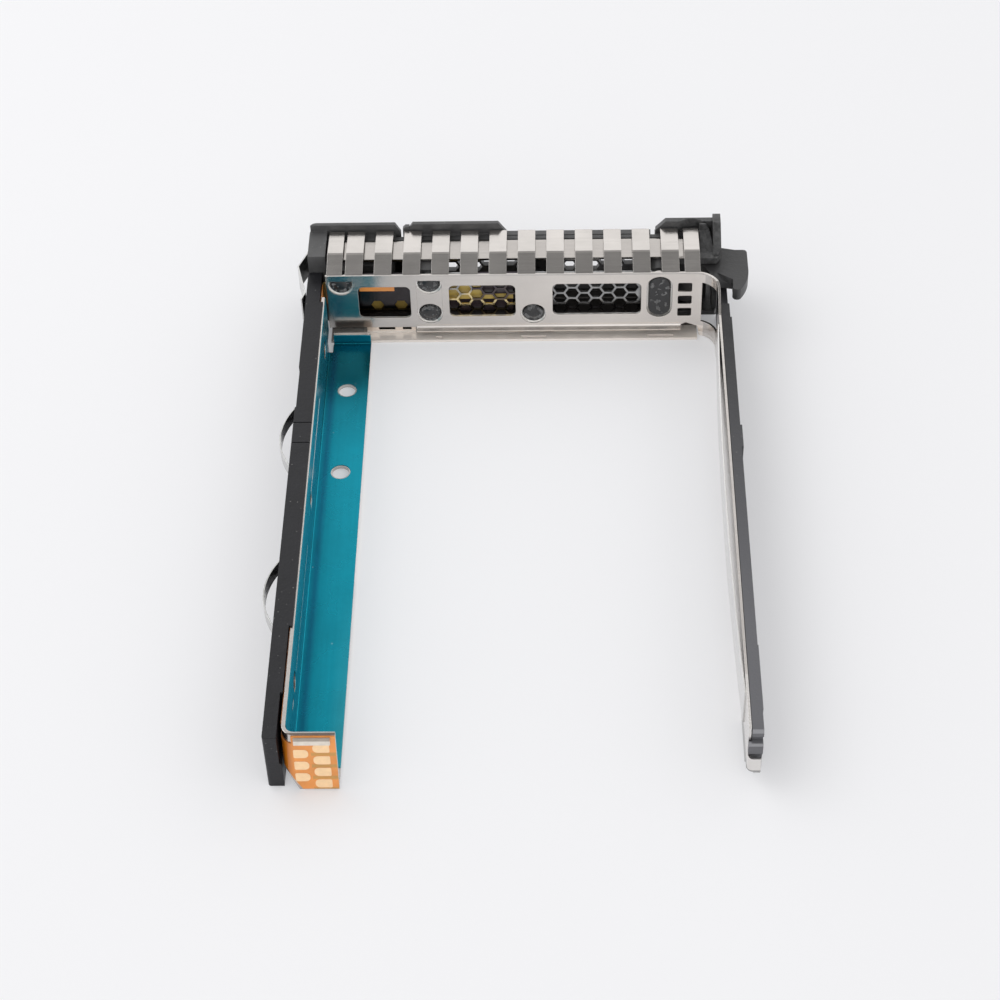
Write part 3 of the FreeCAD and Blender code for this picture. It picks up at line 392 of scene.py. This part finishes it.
def satin_sheet(settings, name, stretch):
    """Plated sheet with its rolled grain drawn out by that stretch."""
    finish = Finish(name, settings.nickel, {"Metallic": 1.0, "Roughness": 0.2})
    grain = finish.noise(1.0, 4.0, 0.6, stretch)
    patch = finish.noise(0.11, 3.0, 0.55)
    grit = finish.noise(2.2, 2.0, 0.6)
    finish.vary(0.7 * patch + 0.3 * grain, 0.88, 1.1)
    finish.feed("Roughness", 0.14 + 0.1 * patch + 0.05 * grain)
    finish.relief(grain * 0.4 + grit * 0.3 + patch * 0.6, 0.035 * settings.grain, 0.12)
    # Painted highlight: the sheet's low edges are painted pale and warm, standing for the floor
    # they reflect.
    low_edge_highlight = finish.within(x=(-29.0, 33.0), y=(-60.0, None), z=(None, 2.45))
    finish.paint(low_edge_highlight * 0.85, settings.edge)
    return finish


class CADDY_OT_steel(bpy.types.Operator):
    """Satin finish of the crossbar, the front cage and the rails"""
    bl_idname = "caddy.steel"
    bl_label = "Steel Sheet"

    def execute(self, context):
        settings = context.scene.caddy_steel
        across = satin_sheet(settings, "satin_steel_across", (0.12, 2.0, 2.0))
        # Painted highlight: the crossbar's face is painted paler towards its right end.
        face = across.within(y=(-0.4, 0.9), z=(None, 14.6)) * across.axes[0].ramp(-24.0, 12.0)
        cage_top = across.within(y=(2.0, None), z=(13.9, 14.85))
        # Painted highlight on the rear tab.
        rear_tab = across.within(y=(None, -90.0))
        # Painted shade inside the cage, where it is also made less metallic.
        shaded_inside = across.within(y=(2.6, None), z=(None, 13.9))
        # The foot is made less metallic, so the painted highlight on the low edges shows.
        foot = across.within(y=(None, 2.0), z=(None, 0.95))
        toe = across.within(y=(None, -90.0), z=(None, 3.35))
        # Painted highlight in the dishes round the melted heads, which are also made less metallic
        # there.
        seat_highlight = across.within(x=(None, 28.0), y=(0.14, 1.4), z=(2.6, 13.2))
        slope = across.within(y=(-1.0, 4.6), z=(14.95, None))
        for amount, colour in ((face * 0.5, FACE_HIGHLIGHT), (cage_top * 0.3, CAGE_TOP_SHADE),
                               (rear_tab * 0.7, TAB_HIGHLIGHT), (shaded_inside * 0.95, CAVITY_SHADE),
                               (toe * 0.8, TOE_SHADE), (seat_highlight * 0.8, SEAT_HIGHLIGHT),
                               (slope * 0.3, SLOPE_SHADE)):
            across.paint(amount, colour)
        across.feed("Metallic", 1.0 - 0.6 * shaded_inside - 0.75 * foot - 0.4 * seat_highlight)
        across.give("crossbar", "front_cage")

        along = satin_sheet(settings, "satin_steel_along", (2.0, 0.12, 2.0))
        seam = along.within(x=(None, -20.0), y=(None, -100.85), z=(11.4, None))
        # Painted reflection: the right leaf is painted pale, standing for the bright floor it
        # reflects.
        leaf = along.within(x=(20.0, None))
        along.paint(seam * 0.75, SEAM)
        along.paint(leaf * 0.7, LEAF_REFLECTION)
        along.give("left_rail", "right_leaf")
        return {"FINISHED"}


class CADDY_OT_grille(bpy.types.Operator):
    """Darker finish of the air grille"""
    bl_idname = "caddy.grille"
    bl_label = "Grille"

    def execute(self, context):
        settings = context.scene.caddy_steel
        finish = Finish("grille_steel", settings.grille, {"Metallic": 1.0, "Roughness": 0.25})
        z = finish.axes[2]
        patch = finish.noise(0.6, 3.0)
        finish.vary(patch, 0.8, 1.25)
        # Gold on the lower rows in the grille's middle, up to a ragged line.
        gold_rows = finish.within(x=(-19.0, 2.0)) * (patch * 6.0 - z + 8.2).ramp(1.0, 3.5)
        finish.paint(gold_rows, GRILLE_GOLD)
        finish.paint(finish.within(x=(None, -19.0)) * 0.94, GRILLE_DARK)
        finish.paint(finish.within(x=(None, -19.0), z=(4.95, 5.35)), GRILLE_LINE)
        finish.paint(finish.within(x=(-8.9, 2.0), z=(7.2, None)) * 0.9, GRILLE_SHADE)
        # Painted shade on the grille's lower part.
        finish.paint(finish.within(z=(None, 5.9)) * 0.9, GRILLE_FOOT_SHADE)
        finish.relief(finish.noise(3.0), 0.03, 0.05)
        finish.give("vent_grille")
        return {"FINISHED"}


class CADDY_OT_springs(bpy.types.Operator):
    """Bright strip of the side springs, earthing clip and button spring, and the pin"""
    bl_idname = "caddy.springs"
    bl_label = "Springs and Pin"

    def execute(self, context):
        settings = context.scene.caddy_steel
        finish = Finish("spring_strip", settings.spring, {"Metallic": 1.0, "Roughness": 0.22})
        streak = finish.noise(1.0, 3.0, 0.6, (0.4, 0.4, 7.0))
        finish.vary(streak, 0.85, 1.1)
        finish.feed("Roughness", 0.16 + 0.16 * streak)
        finish.relief(streak, 0.01, 0.05)
        finish.give("side_spring_front", "side_spring_rear", "ground_clip", "button_spring",
                    "lever_pin")
        return {"FINISHED"}


def moulded(name, colour, sheen):
    """Dark moulded plastic with its grain and specks of dust, and its mottle for the gloss."""
    finish = Finish(name, colour, {"Roughness": 0.4, "Specular IOR Level": sheen})
    mottle = finish.noise(0.3, 4.0, 0.65)
    grain = finish.noise(3.0, 3.0, 0.6)
    speck = finish.cells(0.9).ramp(0.11, 0.05) * finish.noise(0.4).ramp(0.44, 0.6)
    finish.vary(mottle, 0.82, 1.22)
    finish.paint(speck * 0.6, DUST)
    finish.relief(grain * 0.7 + finish.noise(0.9) * 0.6, 0.06, 0.18)
    gloss = 0.3 + 0.22 * mottle
    finish.feed("Roughness", gloss)
    return finish, gloss


class CADDY_OT_plastic(bpy.types.Operator):
    """Dark moulded plastic of the bezel, the rail covers and the lever, and the button"""
    bl_idname = "caddy.plastic"
    bl_label = "Moulded Plastic"

    def execute(self, context):
        settings = context.scene.caddy_plastic
        bezel, gloss = moulded("bezel_plastic", settings.frame, 0.5)
        rough = bezel.axes[0].ramp(24.0, 31.0) * bezel.noise(
            0.8, 5.0, 0.7, distortion=1.0).ramp(0.4, 0.62)
        bezel.paint(rough * 0.7, BEZEL_ROUGH)
        posts = bezel.within(y=(None, 1.3))
        bezel.paint(posts * 0.8, BEZEL_POST)
        bezel.feed("Roughness", gloss - 0.2 * posts)
        bezel.give("bezel")

        left = moulded("left_plastic", settings.left, 0.32)[0]
        left.give("left_cover")

        right = moulded("right_plastic", settings.right, 0.3)[0]
        right_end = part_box("right_cover")[0].y / MM
        # Painted highlights along the edges of the ribs at the cover's rear end.
        rib_highlights = right.within(y=(None, right_end + 0.7)) * (
            right.within(z=(11.3, None)) + right.within(z=(8.45, 8.9))).clamped()
        # Painted sheen: the right cover is painted lighter towards its rear.
        right.paint(right.axes[1].ramp(-12.0, -80.0) * 0.9, tinted(settings.right, 5.6))
        right.paint(rib_highlights * 0.5, COVER_RIB_HIGHLIGHT)
        right.give("right_cover")

        lever = moulded("lever_plastic", settings.lever, 0.5)[0]
        lever.paint(lever.axes[0].ramp(32.5, 35.0) * 0.7, HOOK_DARK)
        lever.give("latch_lever")

        button = Finish("button_plastic", settings.button, {"Roughness": 0.36})
        button.vary(button.noise(0.8, 3.0), 0.8, 1.15)
        button.relief(button.noise(6.0), 0.03, 0.12)
        button.give("release_button")
        return {"FINISHED"}


class CADDY_OT_lenses(bpy.types.Operator):
    """Clear light ring and status lens"""
    bl_idname = "caddy.lenses"
    bl_label = "Lenses"

    def execute(self, context):
        settings = context.scene.caddy_plastic
        finish = Finish("clear_lens", settings.lens,
                        {"Roughness": 0.12, "Coat Weight": 0.4, "Transmission Weight": 0.6,
                         "IOR": 1.49})
        cloud = finish.noise(0.7, 3.0)
        finish.vary(cloud, 0.82, 1.0)
        finish.relief(cloud, 0.01, 0.08)
        finish.give("light_ring", "status_lens")
        return {"FINISHED"}


class CADDY_OT_film(bpy.types.Operator):
    """Glossy insulating film on the rail's wall and flange, with painted reflections, painted
    highlights along the wall's slits and pale scratches
    """
    bl_idname = "caddy.film"
    bl_label = "Insulating Film"

    def execute(self, context):
        colour = context.scene.caddy_circuit.film
        finish = Finish("insulating_film", colour,
                        {"Metallic": 0.8, "Roughness": 0.25, "Specular IOR Level": 0.3})
        x, y, z = finish.axes
        cloud = finish.noise(0.09, 4.0, 0.6)
        spots = finish.noise(0.35, 4.0, 0.65)
        streak = finish.noise(1.0, 3.0, 0.6, (1.2, 0.05, 1.2))
        finish.vary(0.5 * cloud + 0.2 * spots + 0.3 * streak, 0.86, 1.14)
        # Painted reflection: the film is painted darker towards the front, standing for the dark
        # bezel and crossbar it reflects.
        front = (y + 14.0 * cloud).ramp(-22.0, -3.0) * (z < 1.2)
        # Painted reflection: the film is painted paler towards its rear end.
        rear = y.ramp(-62.0, -98.0) * x.ramp(-30.0, -27.0)
        bend = (1.0 - abs(x + 34.0).ramp(0.1, 0.9)) * finish.within(y=(None, -4.5), z=(None, 2.6))
        wall = finish.within(x=(None, -34.7), z=(1.6, None))
        lip = x.ramp(-26.0, -23.5) * finish.within(x=(-34.0, None), y=(-6.0, None), z=(1.2, None))
        # Painted highlights along the slits in the wall and round the notch between them; the
        # flecks below are pale scratches.
        notch = abs(y + 46.9).ramp(1.7, 1.2) * spots.ramp(0.42, 0.55)
        slit_highlights = (finish.within(y=(-47.4, -23.2), z=(6.9, 7.16))
                + finish.within(z=(4.9, 7.7)) * notch
                + finish.within(y=(-84.0, -56.8), z=(5.35, 5.7)))
        fleck = finish.cells(0.35).ramp(0.07, 0.03) * finish.noise(0.2).ramp(0.5, 0.6)
        for amount, tint in ((front * 0.7, tinted(colour, 0.32)), (rear * 0.5, FILM_REAR_REFLECTION),
                             (bend * 0.4, FILM_BEND), (wall * 0.15, FILM_WALL),
                             (lip * 0.6, FILM_LIP),
                             ((slit_highlights * wall + fleck * 0.6).clamped(), FILM_SLIT_HIGHLIGHT_AND_SCRATCH)):
            finish.paint(amount, tint)
        finish.feed("Roughness", 0.16 + 0.22 * cloud)
        finish.relief(cloud * 0.8 + streak * 0.3 + spots * 0.2, 0.06, 0.12)
        finish.give("insulating_film")
        return {"FINISHED"}


class CADDY_OT_circuit(bpy.types.Operator):
    """Amber flexible circuit with its traces, pads, clip and light chips"""
    bl_idname = "caddy.circuit"
    bl_label = "Flexible Circuit"

    def execute(self, context):
        settings = context.scene.caddy_circuit
        circuit = Finish("amber_circuit", settings.amber,
                         {"Roughness": 0.32, "Coat Weight": 0.3, "Coat Roughness": 0.15})
        x, y, z = circuit.axes
        cloud = circuit.noise(0.3, 3.0)
        circuit.vary(cloud, 0.86, 1.12)
        row = z - PAD_BASE_Z
        nearest = PAD_PITCH * (row / PAD_PITCH - 0.5).rounded()
        between_pads = 1.0 - abs(row - PAD_PITCH / 2 - nearest).ramp(0.2, 0.5)
        traces = between_pads * circuit.within(x=(-31.4, None), z=(None, 9.4))
        # Painted shade: the circuit is painted darker amber round its rear bend.
        turned = x.ramp(-33.9, -34.9) * (y < -80.0)
        panel = circuit.within(y=(2.0, None))
        shade = (circuit.within(x=(-7.2, None), z=(7.9, None)) + circuit.within(z=(None, 6.7))
                 + circuit.within(x=(-11.6, -9.0), z=(10.0, None))).clamped()
        for amount, tint in ((traces * 0.6, TRACE), (turned, settings.turned),
                             (panel, settings.panel),
                             (panel * shade * (x > -16.0), PANEL_SHADE),
                             (panel * (x < -18.0) * 0.6, PANEL_LEFT)):
            circuit.paint(amount, tint)
        circuit.relief(cloud * 0.6 + circuit.noise(0.15) * 0.6, 0.08, 0.05)
        circuit.give("flex_circuit")

        pads = Finish("contact_pads", settings.pads, {"Metallic": 0.15, "Roughness": 0.4})
        patch = pads.noise(1.4, 3.0)
        pads.vary(patch, 0.95, 1.05)
        pads.relief(patch, 0.01, 0.04)
        pads.give("contact_pads")

        clip = Finish("pale_clip", settings.clip, {"Roughness": 0.45})
        patch = clip.noise(1.0, 3.0)
        clip.vary(patch, 0.9, 1.08)
        clip.paint(clip.within(z=(10.75, None)) * 0.6, CLIP_EDGE)
        clip.relief(patch, 0.02, 0.06)
        clip.give("flex_clip")

        chips = Finish("light_chips", settings.chips, {"Roughness": 0.3, "Coat Weight": 0.4})
        chips.vary(chips.noise(3.0, 2.0), 0.8, 1.05)
        chips.give("led_chips")
        return {"FINISHED"}


# ---------------------------------------------------------------- extra pieces

def done(result, what):
    """Stops the script where one of Blender's own operators didn't finish."""
    if "FINISHED" not in result:
        raise RuntimeError("%s didn't finish" % what)


def start_piece(primitive, **options):
    """A new primitive at the origin, alone in the selection, turned to face along y."""
    bpy.ops.object.select_all(action="DESELECT")
    done(primitive(location=(0.0, 0.0, 0.0), rotation=(math.pi / 2, 0.0, 0.0), **options),
         "the new piece")
    done(bpy.ops.object.transform_apply(rotation=True), "turning the new piece")
    return bpy.context.object


def shift(piece, wanted, offset):
    """Moves the vertices for which wanted is true."""
    for kind in (piece.data.edges, piece.data.polygons):
        kind.foreach_set("select", [False] * len(kind))
    piece.data.vertices.foreach_set("select", [wanted(vertex) for vertex in piece.data.vertices])
    bpy.ops.object.mode_set(mode="EDIT")
    bpy.ops.mesh.select_mode(type="VERT")
    done(bpy.ops.transform.translate(value=offset), "moving vertices")
    bpy.ops.object.mode_set(mode="OBJECT")


def finished(piece, name, body, material):
    """Applies a new piece's modifiers, names it and ties it to its body and slot."""
    for modifier in [modifier.name for modifier in piece.modifiers]:
        done(bpy.ops.object.modifier_apply(modifier=modifier), modifier)
    if not piece.data.polygons:
        raise RuntimeError("%s has no faces" % name)
    piece.name = name
    bpy.ops.object.select_all(action="DESELECT")
    piece.select_set(True)
    bpy.context.view_layer.objects.active = piece
    bpy.ops.object.transform_apply(location=True, rotation=True, scale=True)
    bpy.ops.object.shade_smooth_by_angle(angle=math.radians(40))
    piece.data.materials.clear()
    piece.data.materials.append(material)
    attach(piece, body)


class CADDY_OT_heads(bpy.types.Operator):
    """Melted heads of the bezel's posts, swirled where the hot tool turned, with painted
    highlights on the swirls
    """
    bl_idname = "caddy.heads"
    bl_label = "Melted Heads"

    def execute(self, context):
        colour = context.scene.caddy_plastic.heads
        sizes = context.scene.caddy_detail
        finish = Finish("melted_plastic", colour, {"Roughness": 0.14, "Specular IOR Level": 0.7})
        swirl = finish.noise(0.5, 4.0, 0.6, distortion=2.4)
        # Painted highlights: the swirl marks are real, their light grey colour is painted
        # highlight.
        finish.tone = tinted(colour, 3.4)
        finish.paint(swirl.ramp(0.30, 0.80), HEAD_SWIRL_HIGHLIGHT)
        finish.feed("Roughness", 0.08 + 0.25 * swirl)
        finish.relief(swirl, 1.1)
        lumps = bpy.data.textures.new("melt_lumps", "CLOUDS")
        lumps.noise_scale = LUMP_SIZE * MM
        lumps.noise_depth = 2
        for count, (x, z, half, top) in enumerate(HEADS, start=1):
            head = start_piece(bpy.ops.mesh.primitive_cylinder_add, vertices=48,
                               radius=sizes.head_radius, depth=sizes.head_depth)
            shift(head, lambda vertex: vertex.co.z > 0.0, (0.0, 0.0, half * MM))
            shift(head, lambda vertex: vertex.co.z < 0.0, (0.0, 0.0, -half * MM))
            bpy.ops.object.mode_set(mode="EDIT")
            bpy.ops.mesh.select_all(action="SELECT")
            bpy.ops.transform.translate(value=(x * MM, HEAD_MIDDLE_Y * MM, z * MM))
            if top is not None:
                done(bpy.ops.mesh.bisect(plane_co=(0.0, 0.0, top * MM), plane_no=(0.0, 0.0, 1.0),
                                         use_fill=True, clear_outer=True), "cutting a head")
            bpy.ops.object.mode_set(mode="OBJECT")
            soft = head.modifiers.new("soft", "BEVEL")
            soft.width, soft.segments, soft.limit_method = HEAD_BEVEL * MM, 3, "ANGLE"
            dense = head.modifiers.new("dense", "REMESH")
            dense.mode, dense.voxel_size = "VOXEL", HEAD_VOXEL * MM
            melt = head.modifiers.new("melt", "DISPLACE")
            melt.texture, melt.texture_coords, melt.strength = lumps, "LOCAL", sizes.head_lumps
            melt.mid_level = LUMP_MIDDLE
            finished(head, "melted_head_%d" % count, "chassis", finish.material)
        return {"FINISHED"}


class CADDY_OT_spring(bpy.types.Operator):
    """Folded strip behind the release button, built in its folded shape in place of the imported
    spring
    """
    bl_idname = "caddy.spring"
    bl_label = "Button Spring"

    def execute(self, context):
        low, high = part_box("button_spring")
        middle = (low + high) / 2
        gauge = context.scene.caddy_detail.strip_gauge
        bends = ((low.x, low.y), (high.x, low.y), (low.x, middle.y), (high.x, high.y - gauge))
        last = len(bends) - 1
        strip = start_piece(bpy.ops.mesh.primitive_grid_add, x_subdivisions=last,
                            y_subdivisions=4, size=1.0)
        columns = [{vertex.index for vertex in strip.data.vertices
                    if round((vertex.co.x + 0.5) * last) == column}
                   for column in range(len(bends))]
        for column, (x, y) in enumerate(bends):
            shift(strip, lambda vertex: vertex.index in columns[column],
                  (x - (column / last - 0.5), y, 0.0))
        bpy.ops.object.mode_set(mode="EDIT")
        bpy.ops.mesh.select_all(action="SELECT")
        bpy.ops.transform.resize(value=(1.0, 1.0, high.z - low.z))
        bpy.ops.transform.translate(value=(0.0, 0.0, middle.z))
        bpy.ops.object.mode_set(mode="OBJECT")
        skin = strip.modifiers.new("skin", "SOLIDIFY")
        skin.thickness, skin.offset = gauge, 0.0
        soft = strip.modifiers.new("soft", "BEVEL")
        soft.width, soft.segments = STRIP_BEVEL * MM, 2
        finished(strip, "folded_spring", "chassis",
                 bpy.data.materials["spring_strip"])
        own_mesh(strip)
        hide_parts("button_spring")
        return {"FINISHED"}


# ---------------------------------------------------------------- stage

class CADDY_OT_stage(bpy.types.Operator):
    """Pale floor, soft light and the camera"""
    bl_idname = "caddy.stage"
    bl_label = "Stage"

    def execute(self, context):
        settings = context.scene.caddy_stage
        self.lay_floor(settings)
        self.light(context, settings)
        self.place_camera(context, settings)
        return {"FINISHED"}

    @staticmethod
    def lay_floor(settings):
        bpy.ops.object.select_all(action="DESELECT")
        place = (STAGE_MIDDLE[0], STAGE_MIDDLE[1], CAD_BOX[0][2] - FLOOR_GAP)
        done(bpy.ops.mesh.primitive_circle_add(vertices=96, radius=FLOOR_RADIUS,
                                               fill_type="NGON", location=place), "the floor")
        floor = bpy.context.object
        floor.name = "floor"
        bpy.ops.object.transform_apply(location=True)
        finish = Finish("floor_paper", settings.floor,
                        {"Roughness": 0.9, "Specular IOR Level": 0.1})
        finish.vary(finish.noise(0.004, 3.0), 0.985, 1.0)
        path = finish.add("ShaderNodeLightPath", {}, {}).outputs
        camera, glossy, clear = [Field(finish, path[name]) for name in
                                 ("Is Camera Ray", "Is Glossy Ray", "Is Transmission Ray")]
        paper = finish.add("ShaderNodeEmission", {}, {"Color": (*settings.paper, 1.0)})
        mixed = finish.add("ShaderNodeMixShader", {},
                           {0: (camera + glossy + clear).clamped() * settings.lift,
                            1: finish.shader.outputs[0], 2: paper.outputs[0]})
        finish.put(mixed.outputs[0], finish.nodes["Material Output"].inputs["Surface"])
        floor.data.materials.append(finish.material)

    @staticmethod
    def light(context, settings):
        world = bpy.data.worlds.new("studio")
        graph = Graph(world)
        around = graph.add("ShaderNodeTexCoord", {}, {}).outputs["Generated"]
        height = graph.add("ShaderNodeSeparateXYZ", {}, {0: around}).outputs[2]
        level = graph.add("ShaderNodeValToRGB", {"stops": SKY_LEVELS}, {0: height})
        sky = graph.nodes["Background"]
        graph.put(level.outputs[0], sky.inputs["Color"])
        graph.put(settings.sky_level, sky.inputs["Strength"])
        context.scene.world = world

        done(bpy.ops.object.light_add(type="AREA", location=KEY_PLACE), "the key light")
        key = context.object
        key.name = "key_light"
        key.data.shape = "DISK"
        key.data.size = KEY_SIZE
        key.data.energy = settings.key_power
        aim = Vector(STAGE_MIDDLE) - key.location
        key.rotation_euler = aim.to_track_quat("-Z", "Y").to_euler()

    @staticmethod
    def place_camera(context, settings):
        done(bpy.ops.object.camera_add(location=CAMERA_PLACE), "the camera")
        camera = context.object
        camera.name = "camera"
        camera.rotation_euler = (Matrix.Rotation(math.radians(CAMERA_HEADING), 3, "Z")
                                 @ Matrix.Rotation(math.radians(CAMERA_TILT), 3, "X")
                                 @ Matrix.Rotation(math.radians(CAMERA_ROLL), 3, "Z")).to_euler()
        camera.data.lens = settings.lens
        camera.data.sensor_width = 36.0
        camera.data.clip_start = 0.01
        context.scene.camera = camera
        context.scene.view_settings.view_transform = "Standard"


# ---------------------------------------------------------------- sidebar

OPERATORS = (CADDY_OT_stage, CADDY_OT_steel, CADDY_OT_grille, CADDY_OT_springs,
             CADDY_OT_plastic, CADDY_OT_lenses, CADDY_OT_film, CADDY_OT_circuit,
             CADDY_OT_heads, CADDY_OT_spring)
SETTINGS = {"caddy_steel": CaddySteel, "caddy_plastic": CaddyPlastic,
            "caddy_circuit": CaddyCircuit, "caddy_detail": CaddyDetail,
            "caddy_stage": CaddyStage}


class CADDY_PT_panel(bpy.types.Panel):
    """The caddy's pieces and their settings"""
    bl_label = "Drive Caddy"
    bl_idname = "CADDY_PT_panel"
    bl_space_type = "VIEW_3D"
    bl_region_type = "UI"
    bl_category = "Caddy"

    def draw(self, context):
        for operator in OPERATORS:
            self.layout.operator(operator.bl_idname)
        for group, kind in SETTINGS.items():
            box = self.layout.box()
            for setting in kind.__annotations__:
                box.prop(getattr(context.scene, group), setting)


def register():
    for kind in (*SETTINGS.values(), *OPERATORS, CADDY_PT_panel):
        bpy.utils.register_class(kind)
    for group, kind in SETTINGS.items():
        setattr(bpy.types.Scene, group, bpy.props.PointerProperty(type=kind))


def unregister():
    for group in SETTINGS:
        delattr(bpy.types.Scene, group)
    for kind in (CADDY_PT_panel, *reversed(OPERATORS), *reversed(SETTINGS.values())):
        bpy.utils.unregister_class(kind)


def main():
    register()
    for operator in OPERATORS:
        group, action = operator.bl_idname.split(".")
        done(getattr(getattr(bpy.ops, group), action)(), operator.bl_label)


if __name__ == "__main__":
    main()
